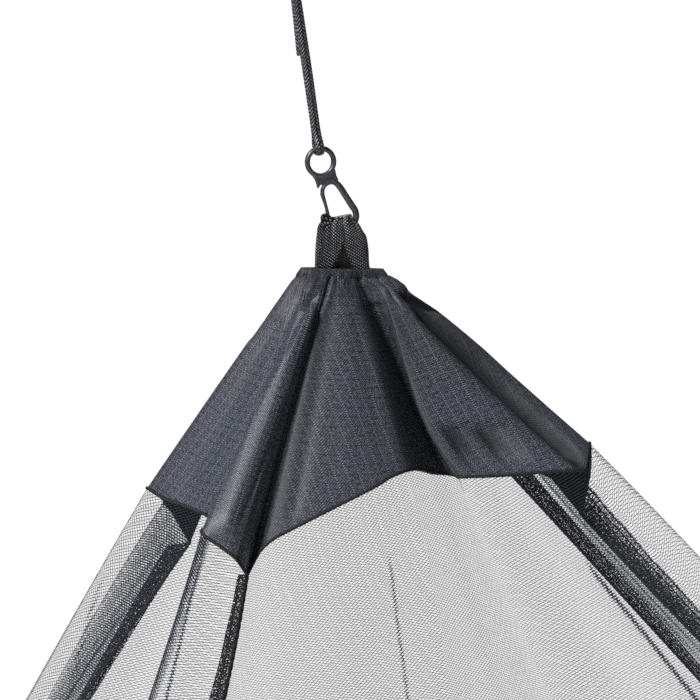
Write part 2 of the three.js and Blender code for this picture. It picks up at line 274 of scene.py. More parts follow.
class Wiring:
    """Short calls for the nodes of one material."""

    def __init__(self, tree):
        self.tree = tree

    def node(self, kind, **settings):
        """New node of a kind, with its settings."""
        made = self.tree.nodes.new("ShaderNode" + kind)
        for key, value in settings.items():
            setattr(made, key, value)
        return made

    def put(self, value, socket):
        """Link another node's socket, or set a constant."""
        if isinstance(value, bpy.types.NodeSocket):
            self.tree.links.new(value, socket)
        else:
            socket.default_value = value

    def math(self, operation, *values):
        """One step of arithmetic on sockets or constants."""
        made = self.node("Math", operation=operation)
        for value, socket in zip(values, made.inputs):
            self.put(value, socket)
        return made.outputs[0]

    def chart(self):
        """The piece's own cloth chart, in millimetres."""
        return self.node("UVMap", uv_map="cloth").outputs[0]

    def cloth(self):
        """The chart's two measures, across and along the weave."""
        parts = self.node("SeparateXYZ")
        self.put(self.chart(), parts.inputs[0])
        return parts.outputs[0], parts.outputs[1]

    def marks(self):
        """The number that each point carries for its material."""
        return self.node("Attribute", attribute_name="marks").outputs["Fac"]

    def line_distance(self, value, period):
        """Distance to the nearest line of a set, as a share of their period: 0 on a line, 0.5 between."""
        share = self.math("FRACT", self.math("DIVIDE", value, period))
        return self.math("SUBTRACT", 0.5, self.math("ABSOLUTE", self.math("SUBTRACT", share, 0.5)))

    def scaled(self, vector, factors):
        """Chart stretched by two factors."""
        made = self.node("VectorMath", operation="MULTIPLY")
        self.put(vector, made.inputs[0])
        made.inputs[1].default_value = (*factors, 1.0)
        return made.outputs[0]

    def noise(self, vector, scale, detail=2.0):
        """Cloudy value about 0.5."""
        made = self.node("TexNoise")
        self.put(vector, made.inputs["Vector"])
        made.inputs["Scale"].default_value = scale
        made.inputs["Detail"].default_value = detail
        return made.outputs["Fac"]

    def ramp(self, value, *stops):
        """Colour by value: stops are (place, colour)."""
        made = self.node("ValToRGB")
        while len(made.color_ramp.elements) < len(stops):
            made.color_ramp.elements.new(1.0)
        for element, (place, colour) in zip(made.color_ramp.elements, stops):
            element.position = place
            element.color = (*colour, 1.0)
        self.put(value, made.inputs[0])
        return made.outputs[0]

    def mix(self, share, first, second):
        """First colour, giving way to the second by share."""
        made = self.node("Mix", data_type="RGBA")
        self.put(share, made.inputs["Factor"])
        for value, socket in ((first, made.inputs[6]), (second, made.inputs[7])):
            self.put(value if isinstance(value, bpy.types.NodeSocket) else (*value, 1.0), socket)
        return made.outputs[2]

    def bump(self, height, distance, strength, shader):
        """Fine relief of a shader: distance in metres."""
        made = self.node("Bump")
        self.put(height, made.inputs["Height"])
        made.inputs["Distance"].default_value = distance
        made.inputs["Strength"].default_value = strength
        self.put(made.outputs[0], shader.inputs["Normal"])


def ripstop_material():
    """Slate nylon: fine weave, with dashed stronger threads every few millimetres both ways. Where its marks
    are high, deep in a fold, it is darkened with painted shade and duller."""
    material, w, shader = new_material("slate_ripstop", specular_ior_level=0.3, sheen_weight=0.06,
                                       sheen_roughness=0.4, sheen_tint=(0.75, 0.82, 1.0, 1.0))
    u, v = w.cloth()
    chart = w.chart()
    rib_pitch, cross_pitch, dash_pitch, weave_pitch = 4.8, 4.4, 1.1, 1.05
    rib_half, cross_half, dash_gap, dot_gap = 0.055, 0.05, 0.25, 0.3
    plain_roughness, fold_roughness = 0.38, 0.68
    dash = w.math("GREATER_THAN", w.line_distance(v, dash_pitch), dash_gap)
    on_rib = w.math("LESS_THAN", w.line_distance(u, rib_pitch), rib_half)
    dots = w.math("GREATER_THAN", w.line_distance(u, dash_pitch), dot_gap)
    across = w.math("LESS_THAN", w.line_distance(v, cross_pitch), cross_half)
    waves = [w.math("SINE", w.math("MULTIPLY", way, 2 * math.pi / weave_pitch)) for way in (u, v)]
    weave = w.math("MULTIPLY", *waves)
    grain = w.noise(w.scaled(chart, (1.0, 0.45)), 1.7, 3.0)
    tone = w.math("ADD", w.math("MULTIPLY", weave, 0.24), grain)
    cloth = w.ramp(tone, (0.3, (0.009, 0.0105, 0.0135)), (0.5, (0.039, 0.043, 0.054)),
                   (0.72, (0.13, 0.144, 0.18)))
    shown = w.math("MULTIPLY", on_rib, w.math("MULTIPLY", w.noise(chart, 0.13, 1.0), 2.0))
    cloth = w.mix(shown, cloth, w.mix(dash, (0.01, 0.011, 0.014), (0.19, 0.202, 0.232)))
    dotted = w.mix(dots, (0.004, 0.0045, 0.006), (0.03, 0.032, 0.04))
    cloth = w.mix(w.math("MULTIPLY", across, 0.5), cloth, dotted)
    # painted shade: the marks darken the base colour in the gathers and folds
    shade = w.marks()
    w.put(w.mix(shade, cloth, (0.003, 0.0035, 0.005)), shader.inputs["Base Color"])
    w.put(w.math("MULTIPLY_ADD", shade, fold_roughness - plain_roughness, plain_roughness),
          shader.inputs["Roughness"])
    height = w.math("ADD", w.math("MULTIPLY", on_rib, dash), grain)
    w.bump(w.math("ADD", w.math("MULTIPLY", weave, 0.4), height), 0.00012, 0.6, shader)
    return material


def coating_and_fold_shadow_material():
    """Dull black coating on the back of the ripstop, also laid on the faces deepest in the cap's folds as a
    painted shadow.
    """
    material, _, _ = new_material("coated_back_and_fold_shadow", base_color=(0.008, 0.0085, 0.01, 1.0), roughness=0.6,
                                  specular_ior_level=0.2)
    return material


def net_material():
    """Black knitted net: a heavy and a light set of threads that cross, wider where several layers lie
    together. A set leaves open_share to the power of its own share times the layers."""
    material, w, shader = new_material("black_net", base_color=(0.022, 0.027, 0.041, 1.0), roughness=0.7,
                                       specular_ior_level=0.2)
    u, v = w.cloth()
    cell_width, cell_height, open_share, heavy_share, thread_blur = 2.75, 1.55, 0.765, 0.68, 0.03
    slant = w.math("DIVIDE", u, cell_width)
    rise = w.math("DIVIDE", v, cell_height)
    layers = w.marks()
    edges = []
    for turn, share in (("ADD", heavy_share), ("SUBTRACT", 1 - heavy_share)):
        closed = w.math("SUBTRACT", 1.0, w.math("POWER", open_share ** share, layers))
        line = w.line_distance(w.math(turn, slant, rise), 1.0)
        edges.append(w.math("SUBTRACT", w.math("MULTIPLY", 0.5, closed), line))
    thread = w.node("MapRange", interpolation_type="SMOOTHSTEP")
    w.put(w.math("MAXIMUM", *edges), thread.inputs["Value"])
    thread.inputs["From Min"].default_value = -thread_blur
    thread.inputs["From Max"].default_value = thread_blur
    w.put(thread.outputs[0], shader.inputs["Alpha"])
    return material


def seam_material():
    """Raw net gathered and overlocked at a seam: dense black lace with rows of thread and small ragged
    holes, fewer where its marks are higher."""
    material, w, shader = new_material("seam_lace", roughness=0.75, specular_ior_level=0.25)
    u, _ = w.cloth()
    chart = w.chart()
    row_pitch, row_half, glint_limit = 3.2, 0.12, 0.62
    glint = w.math("GREATER_THAN", w.noise(chart, 2.1, 1.0), glint_limit)
    w.put(w.mix(glint, (0.010, 0.0105, 0.013), (0.05, 0.052, 0.06)), shader.inputs["Base Color"])
    rows = w.math("LESS_THAN", w.line_distance(u, row_pitch), row_half)
    closed = w.math("MULTIPLY_ADD", w.marks(), 0.12, 0.47)
    lace = w.math("LESS_THAN", w.noise(chart, 1.5), closed)
    w.put(w.math("MAXIMUM", rows, lace), shader.inputs["Alpha"])
    return material


def thread_material():
    """Black overlocking thread, with a faint lighter wrap."""
    material, w, shader = new_material("overlock_thread", roughness=0.65, specular_ior_level=0.3)
    u, v = w.cloth()
    wrap = w.math("GREATER_THAN", w.line_distance(w.math("ADD", u, v), THREAD_WRAP), 0.36)
    w.put(w.mix(wrap, (0.008, 0.0085, 0.010), (0.035, 0.037, 0.042)), shader.inputs["Base Color"])
    return material


def webbing_material():
    """Black polyester webbing: a diagonal lattice of painted highlights, specks where threads float over,
    patchy along it. Where its marks are high it is darker: painted shade in its opened fold, and its dark
    edges."""
    material, w, shader = new_material("black_webbing", roughness=0.55, specular_ior_level=0.4)
    u, v = w.cloth()
    lattice_width, lattice_height, speck_edge = 1.85, 1.35, 0.3
    over, up = w.math("DIVIDE", u, lattice_width), w.math("DIVIDE", v, lattice_height)
    slants = [w.line_distance(w.math(turn, over, up), 1.0) for turn in ("ADD", "SUBTRACT")]
    float_over = w.math("MINIMUM", *slants)
    speck = w.math("GREATER_THAN", float_over, speck_edge)
    patchy_glint = w.math("MULTIPLY", speck, w.noise(w.chart(), 0.22))
    # painted highlights: near-white specks on the floats stand in for their glints
    woven = w.mix(patchy_glint, (0.006, 0.0065, 0.0075), (0.85, 0.87, 0.92))
    w.put(w.mix(w.marks(), woven, (0.004, 0.004, 0.005)), shader.inputs["Base Color"])
    w.bump(float_over, 0.0004, 0.8, shader)
    return material


def braid_material():
    """Black braid: darker with painted shade in the grooves, and lighter with painted highlights on the
    strands' ridges, patchy along the cord.
    """
    material, w, shader = new_material("black_braid", roughness=0.42, specular_ior_level=0.5)
    patchy_glint = w.math("MULTIPLY_ADD", w.noise(w.chart(), 0.9), 1.2, 0.25)
    # painted shade and highlight: the strand's height picks dark for the grooves, light for the ridges
    strands = w.ramp(w.math("MULTIPLY", w.marks(), patchy_glint), (0.3, (0.005, 0.0055, 0.007)),
                     (0.65, (0.05, 0.053, 0.06)), (0.95, (0.33, 0.34, 0.37)))
    w.put(strands, shader.inputs["Base Color"])
    return material


def hook_material():
    """Moulded hook in satin gunmetal, a little scuffed."""
    material, w, shader = new_material("satin_gunmetal", roughness=0.34, specular_ior_level=0.55,
                                       metallic=0.35)
    scuff = w.noise(w.node("TexCoord").outputs["Object"], 900.0, 4.0)
    gunmetal = w.ramp(scuff, (0.35, (0.05, 0.053, 0.06)), (0.7, (0.1, 0.106, 0.118)))
    w.put(gunmetal, shader.inputs["Base Color"])
    w.bump(scuff, 0.00004, 0.2, shader)
    return material


def floor_material():
    """Pale floor, faintly clouded."""
    material, w, shader = new_material("pale_floor", roughness=0.85, specular_ior_level=0.2)
    clouds = w.noise(w.node("TexCoord").outputs["Object"], 3.0)
    pale = w.ramp(clouds, (0.3, (0.74, 0.74, 0.745)), (0.7, (0.78, 0.78, 0.785)))
    w.put(pale, shader.inputs["Base Color"])
    return material


# Camera, light and floor

def view_axes():
    """Right, up and back of the view: a turn about the upright, a tilt down, then the lean."""
    a, e, r = np.radians([VIEW_AZIMUTH, VIEW_ELEVATION, VIEW_LEAN])
    back = np.array([np.sin(a) * np.cos(e), -np.cos(a) * np.cos(e), np.sin(e)])
    level = np.array([np.cos(a), np.sin(a), 0.0])
    rise = np.cross(back, level)
    return level * np.cos(r) + rise * np.sin(r), rise * np.cos(r) - level * np.sin(r), back


def add_camera():
    """Camera moved back from the cap's top seam and aside, so that the seam falls on its pixel."""
    right, up, back = view_axes()
    off_right = (CAP_TOP_PIXEL[0] - FRAME_PIXELS / 2) * PIXEL_SPAN
    off_up = (FRAME_PIXELS / 2 - CAP_TOP_PIXEL[1]) * PIXEL_SPAN
    place = CAP_TOP + back * VIEW_DISTANCE - right * off_right - up * off_up
    camera = bpy.data.objects.new("camera", bpy.data.cameras.new("camera"))
    camera.data.sensor_width = SENSOR
    camera.data.lens = SENSOR * VIEW_DISTANCE / (PIXEL_SPAN * FRAME_PIXELS)
    camera.matrix_world = Matrix([*np.column_stack([right, up, back, place * MM]).tolist(), (0, 0, 0, 1)])
    bpy.context.scene.collection.objects.link(camera)
    bpy.context.scene.camera = camera


def add_sun(name, towards, strength, spread):
    """Broad soft white light that comes from the direction towards."""
    light = bpy.data.lights.new(name, "SUN")
    light.energy = strength
    light.angle = math.radians(spread)
    lamp = bpy.data.objects.new(name, light)
    lamp.rotation_mode = "QUATERNION"
    lamp.rotation_quaternion = Vector(towards).to_track_quat("Z", "Y")
    bpy.context.scene.collection.objects.link(lamp)


def add_studio():
    """White background, a low even fill, a strong light from the upper left, and weak ones from the front
    and the back."""
    world = bpy.data.worlds.new("studio")
    bpy.context.scene.world = world
    world.use_nodes = True
    w = Wiring(world.node_tree)
    fill = world.node_tree.nodes["Background"]
    fill.inputs["Color"].default_value = (0.93, 0.96, 1.0, 1.0)
    fill.inputs["Strength"].default_value = 0.02
    white = w.node("Background")
    white.inputs["Strength"].default_value = 1.02
    white.inputs["Color"].default_value = (1.0, 1.0, 1.0, 1.0)
    chosen = w.node("MixShader")
    sources = (w.node("LightPath").outputs["Is Camera Ray"], fill.outputs[0], white.outputs[0])
    for source, socket in zip(sources, chosen.inputs):
        w.put(source, socket)
    w.put(chosen.outputs[0], world.node_tree.nodes["World Output"].inputs["Surface"])
    add_sun("light_left", (-0.58, -0.36, 0.73), 4.3, 14.0)
    add_sun("light_front", (-0.7, -1.0, 0.5), 0.3, 40.0)
    add_sun("light_back", (0.3, 0.95, 0.35), 1.2, 40.0)
    scene = bpy.context.scene
    scene.view_settings.view_transform = "Standard"
    scene.cycles.transparent_max_bounces = 48
    scene.cycles.use_denoising = False


def add_floor():
    """Round floor: rings of points about the upright, just under the lowest edge of the net."""
    rings, spokes, inner, outer, gap = 12, 72, 0.02, 3.6, 0.0005
    radius = np.linspace(inner, outer, rings)[:, None]
    turn = np.linspace(0, 2 * np.pi, spokes, endpoint=False)[None, :]
    level = np.full((rings, spokes), CAD_BOX[0][2] - gap)
    points = np.stack([radius * np.cos(turn), radius * np.sin(turn), level], axis=-1)
    data = bpy.data.meshes.new("floor")
    faces = grid_faces(rings, spokes, around=True) + [list(range(spokes))]
    data.from_pydata(points.reshape(-1, 3).tolist(), [], faces)
    data.materials.append(floor_material())
    floor = bpy.data.objects.new("floor", data)
    bpy.context.scene.collection.objects.link(floor)


# Cord

def cord_points(points):
    """A cord's route, given from the hook's ring and above the cap's top seam."""
    return np.array(points, float) + [RING_X, 0, 0]


def braid(name, route, material):
    """Flat braid along a route: an ellipse whose surface rises in slanted strands that meet in a V down the
    middle of each face. Height is a rounded saw of length along the cord plus distance from that middle."""
    half_width, half_depth, sides, step = CORD_WIDTH / 2, CORD_THICK / 2, 40, 0.22
    strand_pitch, strand_slope, relief, roundness = 1.65, 1.15, 0.24, 1.3
    middle_dip, middle_width, faces_apart, nudge = 0.75, 0.16, 4, 1e-9
    line = through(route, np.linspace(0, len(route) - 1, 400))
    length = run_length(line)[-1]
    even = np.arange(0, length, step)
    path = points_at(line, even)
    along = unit(np.gradient(path, axis=0))
    across = unit(np.cross(along, [0.0, 1.0, 1e-3]))
    across *= np.sign(across[:, :1] + nudge)
    turn = np.linspace(0, 2 * np.pi, sides, endpoint=False)
    lateral = np.cos(turn) * half_width
    face = np.sign(np.sin(turn) + nudge)
    column = np.where(lateral * face > 0, 0.5, 0.0)
    saw = (even[:, None] + strand_slope * np.abs(lateral)[None, :]) / strand_pitch + column[None, :]
    ridge = np.abs(np.sin(np.pi * saw)) ** roundness
    ridge = ridge * (1 - middle_dip * bell(lateral, middle_width))[None, :]
    rings = tube(path, across, np.cross(across, along), half_width - relief, half_depth - relief, sides)
    rings = rings + unit(rings - path[:, None]) * (relief * ridge)[..., None]
    uv = np.stack(np.broadcast_arrays((lateral + faces_apart * face)[None, :], even[:, None]), axis=-1)
    piece = lay_tube(name, rings, material, uv, ridge)
    return piece, path, float(length)


def add_cords(material):
    """The doubled cord: two legs over the ring, the knot above the view, the loop and the cut end."""
    leg = [(0, 0.15, 52.75), (0, 1.75, 53.05), (0, 2.75, 54.35), (0, 2.75, 57.25), (0, 1.2, 61.75),
           (0.2, 1.2, 88), (0, 1.2, 133.2)]
    side = [(0, 2.2, 146.8), (0, 4.6, 154.8), (0, 5.2, 166.95), (0, 3.6, 173.75)]
    loop = [*side, (0, 0, 175.95), *[(x, -y, z) for x, y, z in reversed(side)]]
    tail = [(0.8, 3.6, 133.2), (0.3, 3.6, 118), (-0.7, 3.6, 97)]
    bight, knot = (0, 0, 52.75), (0, 0, KNOT_Z)
    routes = {
        "cord_back": (leg, bight, "knot"),
        "cord_front": ([(x, -y, z) for x, y, z in leg], bight, "knot"),
        "cord_loop": (loop, knot, "knot"),
        "cord_tail": (tail, knot, "bare"),
    }
    for node, (points, start, far_end) in routes.items():
        piece, path, length = braid("braid_" + node, cord_points(points), material)
        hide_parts(node)
    add_knot(material)


def add_knot(material):
    """Overhand knot: the cord follows a trefoil, three crossings in a lump. With t once round, it goes
    sin t + 2 sin 2t across, -sin 3t deep and cos t - 2 cos 2t up."""
    wide, deep, tall = 2.0 / 1.45, 1.5 * 1.35, 2.3 / 1.55
    half_width, half_depth, stations, sides = 1.75, 1.5, 160, 14
    chart_width, chart_length, strand_height = 8, 60, 0.7
    turn = np.linspace(0, 2 * np.pi, stations, endpoint=False)
    route = np.stack([wide * (np.sin(turn) + 2 * np.sin(2 * turn)),
                      -deep * np.sin(3 * turn),
                      tall * (np.cos(turn) - 2 * np.cos(2 * turn))], axis=1)
    route = route + [RING_X, 0, KNOT_Z]
    along = unit(np.roll(route, -1, axis=0) - np.roll(route, 1, axis=0))
    across = unit(np.cross(along, [0.0, 1.0, 0.0]))
    rings = tube(route, across, np.cross(across, along), half_width, half_depth, sides)
    faces = grid_faces(stations, sides, around=True, round_again=True)
    uv = np.stack(np.broadcast_arrays(np.linspace(0, chart_width, sides)[None],
                                      np.linspace(0, chart_length, stations)[:, None]), axis=-1)
    marks = np.full(stations * sides, strand_height)
    knot = lay_mesh("braid_cord_knot", rings, faces, material, uv, marks)
    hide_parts("cord_knot")


# Cloth

# How far the near left seam stands off its straight rib, midway down, and how far that spreads.
SEAM_FORWARD, SEAM_SPREAD = (-0.6, -2.2, 0.4), 8.0

# How far two folds of the front gore sway off their straight ribs: the share that the sway spreads over, and
# (level, mm in x, mm in y) points down the fold.
FRONT_SWAYS = {
    "crisp fold": (0.1, ((0.0, 0.0, 0.0), (0.1, 4.4, 0.0), (0.3, 1.2, 0.0), (0.46, -1.3, 0.0),
                         (0.645, -3.9, 0.0), (0.77, -4.2, 0.0), (0.9, -2.6, 0.0), (1.0, 0.0, 0.0))),
    "roll crest": (0.08, ((0.0, 0.5, 0.0), (0.07, 3.8, 0.0), (0.25, 5.4, 1.5), (0.34, 5.4, 3.0),
                          (0.48, 5.2, 6.0), (0.61, 3.8, 6.5), (0.8, 2.0, 4.5), (1.0, 0.0, 0.0))),
}


class Panel:
    """One gore of the cap with the net below it, as functions of share across (0 to 1) and depth."""

    def __init__(self, name):
        index = PANELS.index(name)
        rows = [CORNERS[index], *FOLDS[name], CORNERS[(index + 1) % 4]]
        self.name, self.folds = name, [r[0] for r in rows]
        self.hem_rows = np.array([r[1:4] for r in rows], float)
        self.out_rows = np.array([(*r[4:6], 0.0) for r in rows])
        along_hem = run_length(self.hem_rows)
        self.hem_width = along_hem[-1]
        self.row_share = along_hem / self.hem_width
        self.held = [k for k, r in enumerate(rows) if r[0] not in EASED_FOLDS]
        self.angles = TOP_ANGLES[index:index + 2]
        self.ground = GROUND_CORNERS[index], GROUND_CORNERS[(index + 1) % 4]
        self.ground_width = np.linalg.norm(self.ground[1] - self.ground[0])

    def row_at(self, share):
        """Row number of a share across the hem."""
        return np.interp(share, self.row_share, np.arange(len(self.row_share)))

    def top(self, share, squeeze=1.0):
        """Gathered top seam: a flat oval that leans to one side."""
        angle = np.radians(self.angles[0] + (self.angles[1] - self.angles[0]) * share)
        x = TOP_LENGTH / 2 * np.cos(angle)
        return np.stack([x, TOP_DEPTH / 2 * squeeze * np.sin(angle), TOP_TILT * x], axis=-1)

    def hem(self, share):
        """The hem's line through its folds."""
        return through(self.hem_rows, self.row_at(share))

    def even_hem(self, share):
        """The hem's line without the folds that the net below it eases out of."""
        number = np.interp(share, self.row_share[self.held], np.arange(len(self.held)))
        return through(self.hem_rows[self.held], number)

    def out(self, share):
        """The net's own run at the hem, in x and y for each mm of drop."""
        return through(self.out_rows, self.row_at(share))

    def cap(self, share, level):
        """Ribs from the top seam to the hem: straight, but for those that sway with a fold of the front or
        lie beside the near left seam, which stands forward midway."""
        top, hem = self.top(share), self.hem(share)
        ribs = top + (hem - top) * level[..., None]
        if self.name in ("front", "left"):
            from_seam = (share if self.name == "front" else 1 - share) * self.hem_width
            midway = 4 * level * (1 - level)
            ribs += (midway * bell(from_seam, SEAM_SPREAD))[..., None] * np.array(SEAM_FORWARD)
        if self.name == "front":
            for fold, (spread, line) in FRONT_SWAYS.items():
                levels, *sways = np.transpose(line)
                near = bell(share - self.row_share[self.folds.index(fold)], spread)
                moved = [near * np.interp(level, levels, sway) for sway in sways]
                ribs[..., :2] += np.stack(moved, axis=-1)
        return ribs

    def net(self, share, drop_share):
        """The net eases from the hem onto the even hem's line, leaves it along its own run, and settles onto
        the straight line to the ground. Its run is the straight run, plus the difference of its own run from
        that times exp(-drop / reach)."""
        hem, even, out = self.hem(share), self.even_hem(share), self.out(share)
        start, end = self.ground
        inward = -np.where(start == end, np.sign(start), 0.0)
        sag = inward * (GROUND_SAG * np.sin(np.pi * share))[..., None]
        flat = start + (end - start) * share[..., None] + sag
        height = hem[..., 2] + HEIGHT
        drop = height * drop_share
        straight = (flat - even[..., :2]) / height[..., None]
        run = straight + (out[..., :2] - straight) * np.exp(-drop / FOLD_REACH)[..., None]
        leave = even[..., :2] + (hem - even)[..., :2] * np.exp(-drop / NET_EASE)[..., None]
        return np.concatenate([leave + run * drop[..., None], (hem[..., 2] - drop)[..., None]], axis=-1)

    def cap_width(self, level):
        """Width of the gore's cloth, from its half of the top seam to the hem."""
        return TOP_LENGTH / 2 + (self.hem_width - TOP_LENGTH / 2) * level

    def net_width(self, drop_share):
        """Width of the net, from the hem to the ground."""
        return self.hem_width + (self.ground_width - self.hem_width) * drop_share


# The groove beside the right roll of the front gore, as (level, share) points down it, short of the hem.
RIGHT_GROOVE = ((0.1, 0.8), (0.17, 0.786), (0.26, 0.768), (0.46, 0.776), (0.66, 0.786))

# Creases of the cap: (level, share) points down the crease, how far it spreads before and after
# its line, and its height, in mm.
CREASES = {
    "front": (
        # the valley, the groove and the swell of the right flat
        (((0.15, 0.48), (0.3, 0.49), (0.6, 0.47), (1.0, 0.47)), (7.0, 3.0), -2.0),
        ((*RIGHT_GROOVE, (1.0, 0.806)), (1.5, 6.0), -5.0),
        (((0.15, 0.75), (1.0, 0.75)), (6.0, 6.0), 0.8),
        # soft waves of the left belly
        (((0.10, 0.12), (1.0, 0.10)), (4.0, 4.0), -0.4),
        (((0.15, 0.22), (1.0, 0.2)), (5.0, 5.0), 0.35),
        (((0.20, 0.28), (1.0, 0.27)), (4.0, 4.0), -0.4),
        # two dents low on the right flat
        (((0.73, 0.652), (1.0, 0.645)), (3.0, 14.0), -2.2),
        (((0.74, 0.705), (1.0, 0.70)), (3.0, 14.0), -1.8),
        # short tucks below the top seam
        (((0.01, 0.06), (0.2, 0.03)), (1.2, 1.2), -1.0),
        (((0.01, 0.44), (0.2, 0.43)), (1.2, 1.2), -1.0),
        (((0.01, 0.70), (0.22, 0.69)), (1.4, 1.4), -1.2),
    ),
    "left": (
        # the valley behind the roll, the roll's round front and a thin crease down it
        (((0.08, 0.93), (0.19, 0.835), (0.34, 0.8), (0.49, 0.78), (0.645, 0.77), (0.8, 0.76),
          (0.97, 0.745)), (8.0, 1.4), -2.5),
        (((0.12, 0.9), (0.3, 0.87), (0.65, 0.858), (1.0, 0.85)), (5.5, 5.0), 3.2),
        (((0.25, 0.93), (0.65, 0.9), (0.95, 0.88)), (1.0, 1.0), -0.6),
        # soft waves of the side
        (((0.20, 0.45), (1.0, 0.42)), (7.0, 7.0), -0.5),
        (((0.35, 0.55), (1.0, 0.52)), (4.0, 4.0), 0.3),
        (((0.30, 0.3), (1.0, 0.34)), (6.0, 6.0), 0.5),
    ),
    "right": (
        (((0.10, 0.3), (1.0, 0.31)), (6.0, 6.0), -1.2),
        (((0.10, 0.6), (1.0, 0.63)), (5.0, 5.0), -1.4),
        (((0.15, 0.8), (1.0, 0.8)), (5.0, 5.0), 1.2),
    ),
    "back": (
        (((0.10, 0.22), (1.0, 0.2)), (5.0, 5.0), -1.2),
        (((0.12, 0.5), (1.0, 0.5)), (7.0, 7.0), -1.6),
        (((0.15, 0.74), (1.0, 0.74)), (4.0, 4.0), -2.0),
        (((0.15, 0.86), (1.0, 0.86)), (5.0, 5.0), 1.6),
    ),
}
CREASE_START, CREASE_END = 0.04, 0.1  # levels over which a crease fades in and out

# Painted shade, darkening the cloth deep in a fold: (level, share) points, spreads as above, and how dark it
# gets.
FOLD_SHADES = {
    "front": (
        # the groove, and the two dents low on the right flat
        ((*RIGHT_GROOVE, (1.05, 0.809)), (4.0, 9.5), 1.0),
        (((0.74, 0.652), (0.93, 0.645)), (3.0, 5.0), 0.75),
        (((0.75, 0.702), (0.93, 0.7)), (4.0, 6.0), 0.75),
        # the belly's edge, and the strip beyond the groove
        (((0.1, 0.03), (1.1, 0.05)), (6.0, 10.0), 0.55),
        (((0.1, 0.87), (1.1, 0.87)), (8.0, 14.0), 0.25),
        # the valley and the rim of the crisp fold
        (((0.2, 0.51), (1.1, 0.49)), (12.0, 16.0), 0.6),
        (((0.1, 0.608), (1.1, 0.611)), (2.5, 1.8), 0.6),
    ),
    "left": ((((0.1, 0.99), (1.1, 0.985)), (2.0, 3.0), 0.6),),
    "right": (),
    "back": (),
}
# painted shadow: faces whose painted shade passes this are drawn black with the coated back's material
DEEPEST = 0.93  # darker than this, a fold is black, as the coated back is

# Gathers below the top seam: height, wave length over 2 pi, the wobble of their phase and its own wave
# length over 2 pi, the depth where they are highest and how far they spread from it, in mm.
GATHERS = (
    (0.1, 2.1, 3.4, 9.0, 4.5, 3.5),
    (0.14, 4.3, 2.0, 21.0, 10.0, 8.0),
)
# Stitches across the gathers: mean depth, waver and its wave length over 2 pi, dent and its width, in mm.
STITCH_DEPTH, STITCH_WAVER, STITCH_WAVE, STITCH_DENT, STITCH_WIDTH = 4.6, 0.8, 6.0, 0.9, 0.9
# How dark the painted shade in the gathers and along their stitches is, and over what depth in mm.
GATHER_DARK, GATHER_MIDDLE, GATHER_REACH = 0.5, 3.0, 14.0
STITCH_DARK, STITCH_REACH = 0.7, 0.8
# The lip turned in at the top: its depth as a share of the top seam's, and how far its edge drops, in mm.
LIP_SQUEEZE, LIP_DROP = 0.5, 2.5

# The ribs that the cloth's grain follows: (share where the stretch ends, share of its rib).
GRAIN_RIBS = {
    "front": ((0.54, 0.33), (1.0, 0.67)),
    "right": ((1.0, 0.5),),
    "back": ((1.0, 0.5),),
    "left": ((0.76, 0.3), (1.0, 0.9)),
}


def along_crease(panel, share, level, line, spreads):
    """1 on a crease's line, falling off as a bell to both sides and fading in and out at its ends."""
    levels, shares = np.transpose(line)
    fade_in = ease(level, levels[0], levels[0] + CREASE_START)
    fade_out = 1 - ease(level, levels[-1] - CREASE_END, levels[-1])
    aside = (share - np.interp(level, levels, shares)) * panel.cap_width(level)
    return fade_in * fade_out * bell(aside, np.where(aside < 0, *spreads))


def stitch_depth(across):
    """Depth of the wavering stitch line below the cap's top."""
    return STITCH_DEPTH + STITCH_WAVER * np.sin(across / STITCH_WAVE)


def cap_lift(panel, share, depth, level):
    """How far the cap's cloth stands off its ribs: gathers and stitches below the top seam, then the
    creases, and nothing at the corner seams and the hem."""
    across = share * panel.hem_width
    lift = -STITCH_DENT * bell(depth - stitch_depth(across), STITCH_WIDTH)
    for height, wave, wobble, wobble_wave, middle, reach in GATHERS:
        gathered = np.sin(across / wave + wobble * np.sin(across / wobble_wave))
        lift += height * gathered * bell(depth - middle, reach)
    for line, spreads, height in CREASES[panel.name]:
        lift += height * along_crease(panel, share, level, line, spreads)
    return lift * ease(np.minimum(share, 1 - share) * panel.cap_width(level), 0.0, 2.0)


def cap_shade(panel, share, depth, level):
    """How much painted shade darkens the cap's cloth: a little in the gathers, along their stitches, and
    deep in the folds."""
    stitched = depth - stitch_depth(share * panel.hem_width)
    shade = np.maximum(GATHER_DARK * bell(depth - GATHER_MIDDLE, GATHER_REACH),
                       STITCH_DARK * bell(stitched, STITCH_REACH))
    for line, spreads, dark in FOLD_SHADES[panel.name]:
        shade = np.maximum(shade, dark * along_crease(panel, share, level, line, spreads))
    return shade


